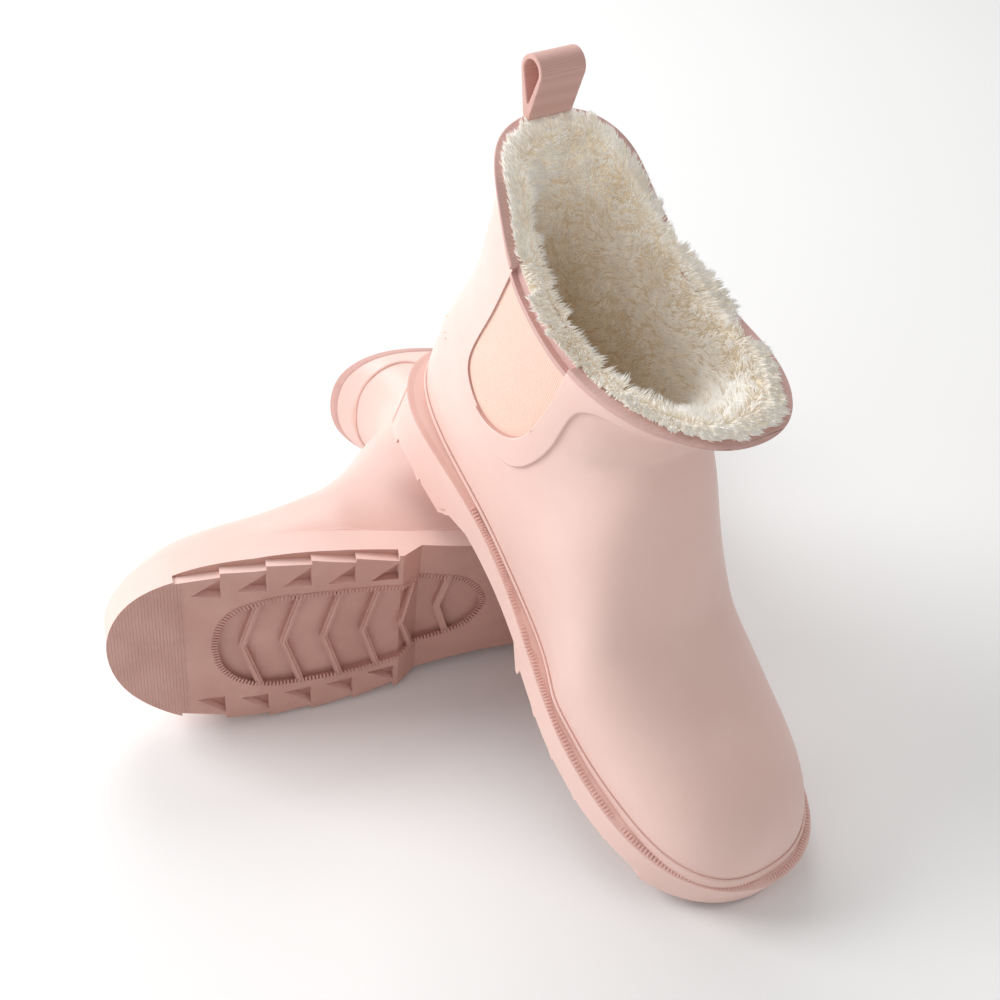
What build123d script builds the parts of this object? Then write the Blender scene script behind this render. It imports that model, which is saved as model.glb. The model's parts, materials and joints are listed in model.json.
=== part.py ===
from build123d import *
from math import copysign, cos, pi, sin
import os

# A pair of lined rubber ankle boots with elastic side gores: the left boot lies on its inner side
# and the right boot leans over it, toe down.  Every piece is drawn once on an upright right boot:
# X runs from the back of the heel to the toe, +Y is the inner (medial) side, Z is up from the
# ground.  The left boot is its mirror image.  Millimetres throughout.

# ---- Overall size of one boot ----
boot_length = 281.0
ball_width = 97.0
collar_height = 182.0

# ---- Wall thicknesses and fits ----
shell_thickness = 2.4
trim_rise = 1.3
gore_recess = 1.0
stiffener_thickness = 1.0
lining_thickness = 7.0
insole_clearance = 0.3
binding_height = 3.0
binding_wrap = 4.2
tape_height = 2.6
gore_drop = 2.0
foxing_height = 5.0
board_thickness = 2.0
insole_thickness = 6.0

# ---- Sole ----
sole_wall = 9.0
heel_floor = 7.0
tread_depth = 4.5
pad_depth = 3.2
lug_pitch = 20.0
lug_count = 5
lug_notch = 3.2
lug_start = 1.0
chevron_count = 6
chevron_pitch = 18.5
chevron_width = 3.4
welt_inset = 0.8
welt_width = 2.4
welt_depth = 1.6
shank_width = 14.0
shank_thickness = 2.0
shank_start = 58.0
shank_end = 172.0

# ---- Pull loop at the back of the collar ----
loop_width = 21.0
strap_thickness = 2.0
loop_radius = 6.6
loop_reach = 18.5
loop_gap = 0.3
anchor_depth = 14.0
bartack_rise = 0.7
bartack_width = 2.2
bartack_height = 4.5

# ---- How the two boots lie: yaw, pitch and roll in degrees, and where the heel point stands ----
# Each boot is then lowered on to the ground, so only its plan position is given.
right_angles = (-56.9, 25.3, -3.9)
right_place = (-33.3, -45.0)
left_angles = (194.4, -4.9, 89.7)
left_place = (97.3, -108.9)

# ---- Shape tables, drawn for the size below and stretched to the driving size ----
drawn_length = 281.0
drawn_width = 97.0
drawn_collar = 182.0
drawn_sole = 28.0
half_ring_steps = 8
across_boot = 90.0
far_below = -60.0
far_above = 260.0

# Each section of the last: its low point and its high point (x, z), where along that line the
# section is widest, the half widths outside and inside, and how square its upper and lower halves
# are (2 is an ellipse).
last_sections = (
    ((226, -27), (272, -20), 0.45, 28.0, 30.0, 2.20, 2.00),
    ((222, -18), (275, 7), 0.45, 33.0, 35.0, 2.30, 2.00),
    ((216, -14), (273, 32), 0.45, 37.0, 38.5, 2.40, 2.00),
    ((210, -9), (256, 48), 0.50, 40.0, 42.0, 2.35, 2.00),
    ((203, -6), (232, 55), 0.52, 42.5, 44.5, 2.30, 2.00),
    ((190, -4), (203, 62), 0.53, 44.5, 45.0, 2.30, 2.00),
    ((160, -3), (171, 82), 0.54, 43.5, 41.0, 2.30, 2.00),
    ((124, 0), (154, 108), 0.56, 40.0, 36.5, 2.30, 2.00),
    ((86, 2), (143, 124), 0.60, 38.0, 35.0, 2.35, 2.10),
    ((46, 5), (136, 133), 0.61, 37.0, 35.0, 2.35, 2.20),
    ((12, 14), (132, 138), 0.63, 37.5, 35.0, 2.35, 2.20),
    ((0, 42), (131, 141), 0.65, 37.5, 34.5, 2.40, 2.25),
    ((0, 70), (130.5, 146), 0.66, 38.0, 34.0, 2.40, 2.30),
    ((3.5, 97), (131.5, 153), 0.66, 38.5, 35.0, 2.40, 2.30),
    ((5, 122), (136, 162), 0.65, 40.0, 36.0, 2.40, 2.40),
    ((2, 147), (144, 172), 0.63, 41.5, 37.5, 2.30, 2.45),
    ((-3, 172), (155, 184), 0.61, 44.0, 39.5, 2.25, 2.50),
    ((-8, 192), (166, 200), 0.60, 46.0, 41.5, 2.25, 2.50),
)
feather_line = ((-40, 29.2), (0, 29), (70, 28), (120, 23.5), (190, 19), (240, 20.5), (282, 26), (320, 31))
rim_line = ((-60, 182.5), (-20, 182.5), (0, 182), (16, 179.5), (42, 166.5), (66, 163), (88, 163.5),
            (122, 172), (150, 179), (180, 182.5), (220, 184))
ground_line = ((-40, 0), (64, 0), (71, 9), (84, 13), (138, 12), (148, 3.6), (180, 1), (215, 0),
               (250, 2.6), (282, 9.5), (320, 20))
outsole_outside = ((-2, 0), (2, -19), (16, -31), (45, -35), (80, -33.5), (115, -35.5), (150, -42),
                   (185, -48), (220, -48), (250, -41), (270, -26.5), (281, 3))
outsole_inside = ((-2, 0), (2, 19), (16, 31), (45, 35), (75, 33), (105, 33.5), (140, 39.5),
                  (170, 45.5), (200, 49), (230, 47.5), (257, 40.5), (274, 27), (281, 3))
gore_outline = ((48, 215), (46, 172), (43, 130), (40.5, 106), (44, 91), (57, 85.5), (72, 89),
                (84.5, 101), (90, 124), (92, 150), (94, 215))
trim_outline = ((58, 84), (74, 79.5), (88, 85), (97, 100), (101, 127), (104.5, 150), (114, 160),
                (132, 165), (152, 169.5), (185, 174))
pad_outside = ((106, 0), (116, -15), (140, -21), (175, -26), (205, -27), (225, -20), (234, 0))
pad_inside = ((106, 0), (116, 15), (140, 21), (175, 26), (206, 27.5), (226, 21), (234, 0))
first_lug = 250.0
heel_lugs = (24.0, 46.0)
pad_centre = 170.0


def along(x):
    return x * boot_length / drawn_length


def across(y):
    return y * ball_width / drawn_width


def up(z):
    if z <= drawn_sole:
        return z
    return drawn_sole + (z - drawn_sole) * (collar_height - drawn_sole) / (drawn_collar - drawn_sole)


def raised(line, lift):
    """Points of a side-view line, moved up by lift."""
    return [(along(x), up(z) + lift) for x, z in line]


def half_ring(row, grow, side):
    """Points of one half of a section, from its low point up to its high point, in its own plane."""
    low, high, widest, outside, inside, top_power, low_power = row
    chord = Vector(along(high[0] - low[0]), up(high[1]) - up(low[1]))
    pivot = widest * chord.length
    half_width = across(inside if side > 0 else outside) + grow
    points = [(0.0, -grow)]
    for i in range(1, half_ring_steps):
        angle = pi * i / half_ring_steps - pi / 2
        power = top_power if sin(angle) >= 0 else low_power
        reach = (chord.length - pivot if sin(angle) >= 0 else pivot) + grow
        rise = copysign(abs(sin(angle)) ** (2 / power), sin(angle))
        points.append((side * half_width * cos(angle) ** (2 / power), pivot + rise * reach))
    return points + [(0.0, chord.length + grow)]


def last_body(grow):
    """The closed form of the upper, grown outward by grow (negative is inward)."""
    with BuildPart() as body:
        for row in last_sections:
            low = Vector(along(row[0][0]), 0, up(row[0][1]))
            high = Vector(along(row[1][0]), 0, up(row[1][1]))
            across_axis = Vector(0, 1, 0)
            plane = Plane(origin=low, x_dir=across_axis, z_dir=across_axis.cross(high - low))
            with BuildSketch(plane):
                with BuildLine():
                    Spline(*half_ring(row, grow, -1), tangents=((-1, 0), (1, 0)), tangent_scalars=(1, 1))
                    Spline(*reversed(half_ring(row, grow, 1)), tangents=((1, 0), (-1, 0)), tangent_scalars=(1, 1))
                make_face()
        loft()
    return body.part


def side_block(points, far_z):
    """Everything between a side-view line and the level far_z, right across the boot."""
    with BuildPart() as block:
        with BuildSketch(Plane.XZ):
            with BuildLine():
                edge = Spline(*points)
                Polyline(edge @ 1, (points[-1][0], far_z), (points[0][0], far_z), edge @ 0)
            make_face()
        extrude(amount=across_boot, both=True)
    return block.part


def ground_block(lift):
    """Everything under the tread line moved up by lift."""
    points = [(along(x), z + lift) for x, z in ground_line]
    with BuildPart() as block:
        with BuildSketch(Plane.XZ):
            with BuildLine():
                Polyline(*points, (points[-1][0], far_below), (points[0][0], far_below), close=True)
            make_face()
        extrude(amount=across_boot, both=True)
    return block.part


def box_between(x_range, y_range, z_range):
    """A plain block given by its ends, for trimming."""
    with BuildPart() as block:
        with Locations((sum(x_range) / 2, sum(y_range) / 2, sum(z_range) / 2)):
            Box(x_range[1] - x_range[0], y_range[1] - y_range[0], z_range[1] - z_range[0])
    return block.part


def moved_in(points, inset):
    """An outline's points, each moved square to the outline by inset, towards the middle line."""
    placed_points = [(along(x), across(y)) for x, y in points]
    moved = []
    for i, point in enumerate(placed_points):
        before = placed_points[max(i - 1, 0)]
        after = placed_points[min(i + 1, len(placed_points) - 1)]
        heading = Vector(after[0] - before[0], after[1] - before[1])
        inward = Vector(-heading.Y, heading.X) if sum(y for _, y in points) < 0 else Vector(heading.Y, -heading.X)
        if i == 0:
            inward = Vector(1, 0)
        if i == len(points) - 1:
            inward = Vector(-1, 0)
        moved.append(Vector(*point) + inward.normalized() * inset)
    return moved


def plan_prism(outside, inside, inset=0.0):
    """A plan outline, given as its outer and inner halves from heel to toe, as a tall prism."""
    with BuildPart() as prism:
        with BuildSketch():
            with BuildLine():
                outer_half = moved_in(outside, inset)
                inner_half = reversed(moved_in(inside, inset))
                Spline(*outer_half, tangents=((0, -1), (0, 1)), tangent_scalars=(1, 1))
                Spline(*inner_half, tangents=((0, 1), (0, -1)), tangent_scalars=(1, 1))
            make_face()
        extrude(amount=drawn_collar / 2, both=True)
    return prism.part


# ---- Shared forms and cutting blocks ----
grown = {grow: last_body(grow) for grow in (
    trim_rise + bartack_rise,
    trim_rise,
    0.0,
    -gore_recess,
    -shell_thickness,
    -shell_thickness - stiffener_thickness,
    -binding_wrap,
    -shell_thickness - lining_thickness,
    -shell_thickness - lining_thickness - insole_clearance,
)}
trim_form = grown[trim_rise]
outer_form = grown[0.0]
shell_inner = grown[-shell_thickness]
lining_inner = grown[-shell_thickness - lining_thickness]
wrap_form = grown[-binding_wrap]

under_feather = side_block(raised(feather_line, 0.0), far_below)
under_board = side_block(raised(feather_line, board_thickness), far_below)
under_insole = side_block(raised(feather_line, board_thickness + insole_thickness), far_below)
under_foxing = side_block(raised(feather_line, foxing_height), far_below)
over_rim = side_block(raised(rim_line, 0.0), far_above)
over_seam = side_block(raised(rim_line, -binding_height), far_above)
over_gore = side_block(raised(rim_line, -binding_height - gore_drop), far_above)
over_panel = side_block(raised(rim_line, -binding_height - gore_drop - tape_height), far_above)

with BuildPart() as gore_window:
    with BuildSketch(Plane.XZ):
        with BuildLine():
            gore_edge = Spline(*raised(gore_outline, 0.0))
            Line(gore_edge @ 1, gore_edge @ 0)
        make_face()
    extrude(amount=across_boot, both=True)

with BuildPart() as trim_zone:
    with BuildSketch(Plane.XZ):
        with BuildLine():
            trim_edge = Spline(*raised(trim_outline, 0.0))
            Polyline(trim_edge @ 1, (along(185), far_above), (along(70), far_above), trim_edge @ 0)
        make_face()
    extrude(amount=across_boot, both=True)

# ---- Tread pockets cut up into the underside ----
def edge_reach(x, side):
    """How far the sole reaches to one side at x, from its outline."""
    points = outsole_outside if side < 0 else outsole_inside
    for (x0, y0), (x1, y1) in zip(points, points[1:]):
        if x0 <= x <= x1:
            return y0 + (y1 - y0) * (x - x0) / (x1 - x0)
    return points[-1][1]


with BuildPart() as side_pockets:
    with BuildSketch():
        for side in (-1, 1):
            for i in range(lug_count):
                front = first_lug - i * lug_pitch
                back = front - lug_pitch
                rim_y = edge_reach(back, side)
                # saw-tooth notch in the outer edge, deepest at the heel end of the lug
                with BuildLine():
                    Polyline(
                        (along(back), across(rim_y + side * 6)),
                        (along(front), across(edge_reach(front, side) + side * 6)),
                        (along(front), across(edge_reach(front, side) - side * lug_start)),
                        (along(back), across(rim_y) - side * lug_notch),
                        close=True,
                    )
                make_face()
                # triangular pocket between this lug and the central pad
                with BuildLine():
                    Polyline(
                        (along(back), across(rim_y * 0.67)),
                        (along(back + 13), across(rim_y * 0.70)),
                        (along(back), across(rim_y * 0.90)),
                        close=True,
                    )
                make_face()
    extrude(amount=drawn_sole, both=True)
    add(ground_block(tread_depth), mode=Mode.INTERSECT)

with BuildPart() as heel_notches:
    with BuildSketch():
        for side in (-1, 1):
            for back in heel_lugs:
                front = back + heel_lugs[1] - heel_lugs[0]
                with BuildLine():
                    Polyline(
                        (along(back), across(edge_reach(back, side) + side * 6)),
                        (along(front), across(edge_reach(front, side) + side * 6)),
                        (along(front), across(edge_reach(front, side) - side * lug_start)),
                        (along(back), across(edge_reach(back, side)) - side * lug_notch * 0.6),
                        close=True,
                    )
                make_face()
    extrude(amount=drawn_sole, both=True)
    add(ground_block(tread_depth), mode=Mode.INTERSECT)

with BuildPart() as chevrons:
    with BuildSketch():
        for i in range(chevron_count):
            tip = pad_centre + (chevron_count - 1) * chevron_pitch / 2 + 7 - i * chevron_pitch
            with BuildLine():
                Polyline(
                    (along(tip), 0),
                    (along(tip - 9), across(30)),
                    (along(tip - 9) - chevron_width, across(30)),
                    (along(tip) - chevron_width, 0),
                    (along(tip - 9) - chevron_width, across(-30)),
                    (along(tip - 9), across(-30)),
                    close=True,
                )
            make_face()
    extrude(amount=drawn_sole, both=True)

with BuildPart() as pad_recess:
    add(plan_prism(pad_outside, pad_inside))
    add(ground_block(pad_depth), mode=Mode.INTERSECT)
    add(chevrons.part, mode=Mode.SUBTRACT)

# ---- Sole unit ----
with BuildPart() as shank:
    add(box_between((along(shank_start), along(shank_end)), (-shank_width / 2, shank_width / 2), (0, 60)))
    add(under_feather, mode=Mode.INTERSECT)
    add(side_block(raised(feather_line, -shank_thickness), far_below), mode=Mode.SUBTRACT)

with BuildPart() as heel_core:
    add(plan_prism(outsole_outside, outsole_inside, sole_wall))
    add(box_between((along(8), along(66)), (-across_boot, across_boot), (heel_floor, 60)), mode=Mode.INTERSECT)
    add(under_feather, mode=Mode.INTERSECT)
    add(shank.part, mode=Mode.SUBTRACT)

with BuildPart() as midsole_filler:
    add(plan_prism(outsole_outside, outsole_inside, sole_wall))
    add(box_between((along(150), along(262)), (-across_boot, across_boot), (0, 60)), mode=Mode.INTERSECT)
    add(under_feather, mode=Mode.INTERSECT)
    add(ground_block(tread_depth + 3.5), mode=Mode.SUBTRACT)
    add(shank.part, mode=Mode.SUBTRACT)

with BuildPart() as welt_strip:
    add(plan_prism(outsole_outside, outsole_inside, welt_inset))
    add(plan_prism(outsole_outside, outsole_inside, welt_inset + welt_width), mode=Mode.SUBTRACT)
    add(under_feather, mode=Mode.INTERSECT)
    add(side_block(raised(feather_line, -welt_depth), far_below), mode=Mode.SUBTRACT)

with BuildPart() as outsole:
    add(plan_prism(outsole_outside, outsole_inside))
    add(under_feather, mode=Mode.INTERSECT)
    add(ground_block(0.0), mode=Mode.SUBTRACT)
    for cutter in (side_pockets, heel_notches, pad_recess, heel_core, midsole_filler, shank, welt_strip):
        add(cutter.part, mode=Mode.SUBTRACT)

with BuildPart() as insole_board:
    add(shell_inner)
    add(under_board, mode=Mode.INTERSECT)
    add(under_feather, mode=Mode.SUBTRACT)

with BuildPart() as insole:
    add(grown[-shell_thickness - lining_thickness - insole_clearance])
    add(under_insole, mode=Mode.INTERSECT)
    add(under_board, mode=Mode.SUBTRACT)

# ---- Upper ----
with BuildPart() as upper_shell:
    add(outer_form)
    for cutter in (under_feather, over_seam, gore_window.part, shell_inner):
        add(cutter, mode=Mode.SUBTRACT)

with BuildPart() as foxing_strip:
    add(trim_form)
    add(under_foxing, mode=Mode.INTERSECT)
    for cutter in (under_feather, outer_form):
        add(cutter, mode=Mode.SUBTRACT)

with BuildPart() as collar_trim:
    add(trim_form)
    add(trim_zone.part, mode=Mode.INTERSECT)
    for cutter in (over_seam, gore_window.part, outer_form):
        add(cutter, mode=Mode.SUBTRACT)

with BuildPart() as toe_puff:
    add(shell_inner)
    add(box_between((along(238), along(300)), (-across_boot, across_boot), (0, 100)), mode=Mode.INTERSECT)
    for cutter in (under_board, grown[-shell_thickness - stiffener_thickness]):
        add(cutter, mode=Mode.SUBTRACT)

with BuildPart() as heel_counter:
    add(shell_inner)
    add(box_between((-50, along(46)), (-across_boot, across_boot), (0, up(80))), mode=Mode.INTERSECT)
    for cutter in (under_board, grown[-shell_thickness - stiffener_thickness]):
        add(cutter, mode=Mode.SUBTRACT)

# ---- Elastic gores, with the tape bound over their top edge ----
outer_side = box_between((-50, 320), (-across_boot, 0), (0, far_above))
inner_side = box_between((-50, 320), (0, across_boot), (0, far_above))

with BuildPart() as gore_lateral:
    add(grown[-gore_recess])
    for keeper in (gore_window.part, outer_side):
        add(keeper, mode=Mode.INTERSECT)
    for cutter in (over_panel, shell_inner):
        add(cutter, mode=Mode.SUBTRACT)

with BuildPart() as gore_medial:
    add(grown[-gore_recess])
    for keeper in (gore_window.part, inner_side):
        add(keeper, mode=Mode.INTERSECT)
    for cutter in (over_panel, shell_inner):
        add(cutter, mode=Mode.SUBTRACT)

with BuildPart() as gore_tape_lateral:
    add(outer_form)
    for keeper in (gore_window.part, outer_side, over_panel):
        add(keeper, mode=Mode.INTERSECT)
    for cutter in (over_gore, shell_inner):
        add(cutter, mode=Mode.SUBTRACT)

with BuildPart() as gore_tape_medial:
    add(outer_form)
    for keeper in (gore_window.part, inner_side, over_panel):
        add(keeper, mode=Mode.INTERSECT)
    for cutter in (over_gore, shell_inner):
        add(cutter, mode=Mode.SUBTRACT)

# ---- Binding round the collar, in a back and a front piece ----
back_half = box_between((-50, along(68)), (-across_boot, across_boot), (0, far_above))
front_half = box_between((along(68), 320), (-across_boot, across_boot), (0, far_above))

with BuildPart() as collar_binding_back:
    add(trim_form)
    for keeper in (over_seam, back_half):
        add(keeper, mode=Mode.INTERSECT)
    for cutter in (over_rim, gore_window.part, wrap_form):
        add(cutter, mode=Mode.SUBTRACT)

with BuildPart() as collar_binding_front:
    add(trim_form)
    for keeper in (over_seam, front_half):
        add(keeper, mode=Mode.INTERSECT)
    for cutter in (over_rim, gore_window.part, wrap_form):
        add(cutter, mode=Mode.SUBTRACT)

# ---- Pull loop: a teardrop of webbing that swings on its stitched tail ----
back_low = last_sections[-2][0]
back_high = last_sections[-1][0]
rim_share = (rim_line[1][1] - back_low[1]) / (back_high[1] - back_low[1])
rim_back_x = along(back_low[0] + (back_high[0] - back_low[0]) * rim_share)
hinge_x = rim_back_x + (shell_thickness - trim_rise) / 2 + 1.2
hinge_z = up(rim_line[1][1]) + loop_gap + strap_thickness

with BuildPart() as pull_loop:
    with BuildSketch(Plane.XZ):
        with Locations((hinge_x, hinge_z + loop_reach)):
            Circle(loop_radius)
        with Locations((hinge_x, hinge_z)):
            Circle(strap_thickness)
        make_hull()
        with BuildSketch(mode=Mode.PRIVATE) as eye:
            with Locations((hinge_x, hinge_z + loop_reach)):
                Circle(loop_radius - strap_thickness)
            with Locations((hinge_x, hinge_z + loop_reach * 0.32)):
                Circle(strap_thickness * 0.2)
            make_hull()
        add(eye.sketch, mode=Mode.SUBTRACT)
    extrude(amount=loop_width / 2, both=True)

with BuildPart() as loop_anchor:
    add(shell_inner)
    add(
        box_between((-50, along(30)), (-loop_width / 2, loop_width / 2),
                    (up(rim_line[1][1]) - binding_height - anchor_depth, far_above)),
        mode=Mode.INTERSECT,
    )
    for cutter in (over_seam, wrap_form):
        add(cutter, mode=Mode.SUBTRACT)

with BuildPart() as loop_bartack:
    for side in (-1, 1):
        tack_y = side * (loop_width / 2 - bartack_width)
        add(box_between((-50, along(20)), (tack_y - bartack_width / 2, tack_y + bartack_width / 2),
                        (up(rim_line[1][1]) - binding_height - bartack_height,
                         up(rim_line[1][1]) - binding_height)))
    add(grown[trim_rise + bartack_rise], mode=Mode.INTERSECT)
    for cutter in (over_seam, outer_form):
        add(cutter, mode=Mode.SUBTRACT)

# ---- Fleece lining, inside everything else ----
with BuildPart() as lining_sock:
    add(shell_inner)
    for cutter in (under_board, over_rim, lining_inner, toe_puff.part, heel_counter.part,
                   collar_binding_back.part, collar_binding_front.part, loop_anchor.part):
        add(cutter, mode=Mode.SUBTRACT)

# ---- Lay the pair down and write every piece ----
pieces = {
    "outsole": outsole, "welt_strip": welt_strip, "foxing_strip": foxing_strip,
    "heel_core": heel_core, "midsole_filler": midsole_filler, "shank": shank,
    "insole_board": insole_board, "insole": insole, "upper_shell": upper_shell,
    "toe_puff": toe_puff, "heel_counter": heel_counter, "collar_trim": collar_trim,
    "gore_lateral": gore_lateral, "gore_medial": gore_medial,
    "gore_tape_lateral": gore_tape_lateral, "gore_tape_medial": gore_tape_medial,
    "collar_binding_back": collar_binding_back, "collar_binding_front": collar_binding_front,
    "lining_sock": lining_sock, "pull_loop": pull_loop, "loop_anchor": loop_anchor,
    "loop_bartack": loop_bartack,
}


def resting_place(angles, place, solids):
    """Where a boot lies: turned by its angles, over its plan place, its lowest point on the ground."""
    yaw, pitch, roll = angles
    turned = Rot(0, 0, yaw) * Rot(0, pitch, 0) * Rot(roll, 0, 0)
    lowest = min((turned * solid).bounding_box().min.Z for solid in solids)
    return Pos(along(place[0]), along(place[1]), -lowest) * turned


right_solids = {name: piece.part for name, piece in pieces.items()}
left_solids = {name: mirror(piece.part, Plane.XZ) for name, piece in pieces.items()}
grounded = ("outsole", "welt_strip", "collar_trim", "collar_binding_back", "collar_binding_front")
right_home = resting_place(right_angles, right_place, [right_solids[name] for name in grounded])
left_home = resting_place(left_angles, left_place, [left_solids[name] for name in grounded])

placed = {}
for name in pieces:
    placed["right_" + name] = right_home * right_solids[name]
    placed["left_" + name] = left_home * left_solids[name]

# the frame's origin is under the middle of the pair
boxes = [solid.bounding_box() for solid in placed.values()]
middle_x = (min(box.min.X for box in boxes) + max(box.max.X for box in boxes)) / 2
middle_y = (min(box.min.Y for box in boxes) + max(box.max.Y for box in boxes)) / 2
print(f"origin under ({middle_x:.2f}, {middle_y:.2f}), right {right_home}, left {left_home}")

os.makedirs("parts", exist_ok=True)
for name, solid in placed.items():
    with BuildPart() as piece:
        add(Pos(-middle_x, -middle_y, 0) * solid)
    piece.part.label = name
    export_step(piece.part, f"parts/{name}.step")
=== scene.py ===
import json
import math

import bmesh
import bpy
import numpy as np
from mathutils import Matrix, Vector
from mathutils.kdtree import KDTree


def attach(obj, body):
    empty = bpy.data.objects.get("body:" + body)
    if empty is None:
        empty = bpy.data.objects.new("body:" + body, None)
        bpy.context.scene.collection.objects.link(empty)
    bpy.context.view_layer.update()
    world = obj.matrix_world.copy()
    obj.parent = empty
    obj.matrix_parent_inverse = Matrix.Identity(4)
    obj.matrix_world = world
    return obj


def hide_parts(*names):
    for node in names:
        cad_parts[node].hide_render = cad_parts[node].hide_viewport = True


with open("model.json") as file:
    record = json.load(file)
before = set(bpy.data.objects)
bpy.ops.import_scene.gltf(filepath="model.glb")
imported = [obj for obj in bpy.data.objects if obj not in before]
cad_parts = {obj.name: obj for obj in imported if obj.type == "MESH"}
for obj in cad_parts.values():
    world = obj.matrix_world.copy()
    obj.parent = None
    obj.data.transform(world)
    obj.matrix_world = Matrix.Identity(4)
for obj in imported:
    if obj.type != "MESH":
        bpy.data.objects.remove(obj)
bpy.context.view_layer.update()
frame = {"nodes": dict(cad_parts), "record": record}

MM = 0.001
SIDES = ("left", "right")
GROUND_GAP = 0.0002

# Each boot is described upright, toe along +X, heel at the origin; these lay it down.
HOME_TURN = {"right": (-56.9, 25.3, -3.9), "left": (194.4, -4.9, 89.7)}
HOME_PLACE = {"right": (-9.84, 43.36, 112.277), "left": (120.76, -20.54, 31.971)}
RIM_X = (-20, 0, 16, 42, 66, 88, 122, 150, 180)
RIM_Z = (182.5, 182, 179.5, 166.5, 163, 163.5, 172, 179, 182.5)

# ---- Camera, lights and floor ----
AIM = Vector((0.02346, 0.08836, 0.0))
CAMERA_REACH = 0.8338
CAMERA_RISE = math.radians(40.03)
LENS = 53.8
SENSOR_WIDTH = 36.0
FLOOR_HALF = 4.0
WORLD_TINT = (1.0, 0.995, 0.985, 1)
WORLD_STRENGTH = 0.50
# each softbox: name, place, size in metres, power in watts
SOFTBOXES = (
    ("softbox_left", (-1.15, 0.15, 0.85), 0.7, 13.5),
    ("softbox_back", (-0.2, 1.0, 1.25), 0.9, 8.0),
    ("softbox_front", (-0.5, -1.3, 0.9), 1.2, 1.6),
)


def turn_of(side):
    """How an upright boot is turned to lie in its place."""
    yaw, pitch, roll = (math.radians(a) for a in HOME_TURN[side])
    return Matrix.Rotation(yaw, 3, "Z") @ Matrix.Rotation(pitch, 3, "Y") @ Matrix.Rotation(roll, 3, "X")


def place_of(side):
    return Vector(HOME_PLACE[side]) * MM


def to_boot(side, points):
    """Points of the row frame in metres as points of the upright right boot in millimetres."""
    turn = np.array(turn_of(side))
    upright = (np.asarray(points) - np.array(place_of(side))) @ turn / MM
    if side == "left":
        upright[:, 1] *= -1
    return upright


def from_boot(side, points):
    upright = np.array(points, float) * MM
    if side == "left":
        upright[:, 1] *= -1
    return upright @ np.array(turn_of(side)).T + np.array(place_of(side))


def directions_from_boot(side, directions):
    turned = np.array(directions, float)
    if side == "left":
        turned[:, 1] *= -1
    return turned @ np.array(turn_of(side)).T


def set_stage():
    scene = bpy.context.scene
    camera = bpy.data.objects.new("camera", bpy.data.cameras.new("camera"))
    scene.collection.objects.link(camera)
    camera.data.lens = LENS
    camera.data.sensor_width = SENSOR_WIDTH
    back = Vector((0, -math.cos(CAMERA_RISE), math.sin(CAMERA_RISE)))
    camera.location = AIM + back * CAMERA_REACH
    camera.rotation_mode = "QUATERNION"
    camera.rotation_quaternion = (-back).to_track_quat("-Z", "Y")
    scene.camera = camera
    scene.view_settings.view_transform = "Standard"

    world = bpy.data.worlds.new("studio")
    scene.world = world
    world.use_nodes = True
    world.node_tree.nodes["Background"].inputs["Color"].default_value = WORLD_TINT
    world.node_tree.nodes["Background"].inputs["Strength"].default_value = WORLD_STRENGTH

    for name, place, size, power in SOFTBOXES:
        light = bpy.data.objects.new(name, bpy.data.lights.new(name, "AREA"))
        scene.collection.objects.link(light)
        light.data.size = size
        light.data.energy = power
        light.location = place
        light.rotation_mode = "QUATERNION"
        light.rotation_quaternion = (AIM - Vector(place)).to_track_quat("-Z", "Y")

    floor_mesh = bmesh.new()
    bmesh.ops.create_grid(floor_mesh, x_segments=8, y_segments=8, size=FLOOR_HALF)
    floor = new_object("floor", floor_mesh)
    floor.data.materials.append(floor_finish())


def new_object(name, shape):
    mesh = bpy.data.meshes.new(name)
    shape.to_mesh(mesh)
    shape.free()
    made = bpy.data.objects.new(name, mesh)
    bpy.context.scene.collection.objects.link(made)
    return made


# ---- Shared shader effects ----
def new_group(name, inputs, outputs):
    group = bpy.data.node_groups.new(name, "ShaderNodeTree")
    for label, kind, value in inputs:
        socket = group.interface.new_socket(label, in_out="INPUT", socket_type=kind)
        if value is not None:
            socket.default_value = value
    for label, kind in outputs:
        group.interface.new_socket(label, in_out="OUTPUT", socket_type=kind)
    entry = group.nodes.new("NodeGroupInput")
    leave = group.nodes.new("NodeGroupOutput")
    return group, entry, leave


def add_node(tree, kind, **settings):
    node = tree.nodes.new(kind)
    for key, value in settings.items():
        if key in node.inputs:
            node.inputs[key].default_value = value
        else:
            setattr(node, key, value)
    return node


def math_node(tree, operation, first, second=None):
    node = add_node(tree, "ShaderNodeMath", operation=operation)
    for slot, value in enumerate((first, second)):
        if value is None:
            continue
        if isinstance(value, (int, float)):
            node.inputs[slot].default_value = value
        else:
            tree.links.new(value, node.inputs[slot])
    return node.outputs[0]


def make_boot_position(side):
    """Object coordinates turned back to the upright boot, in millimetres."""
    group, _, leave = new_group(f"{side}_boot_position", (), (("Position", "NodeSocketVector"),))
    source = add_node(group, "ShaderNodeTexCoord")
    turned = add_node(group, "ShaderNodeMapping")
    inverse = turn_of(side).transposed()
    turned.inputs["Rotation"].default_value = inverse.to_euler("XYZ")
    turned.inputs["Location"].default_value = -(inverse @ place_of(side))
    scaled = add_node(group, "ShaderNodeVectorMath", operation="SCALE")
    scaled.inputs["Scale"].default_value = 1 / MM
    group.links.new(source.outputs["Object"], turned.inputs["Vector"])
    group.links.new(turned.outputs["Vector"], scaled.inputs[0])
    group.links.new(scaled.outputs[0], leave.inputs["Position"])
    return group


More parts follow.
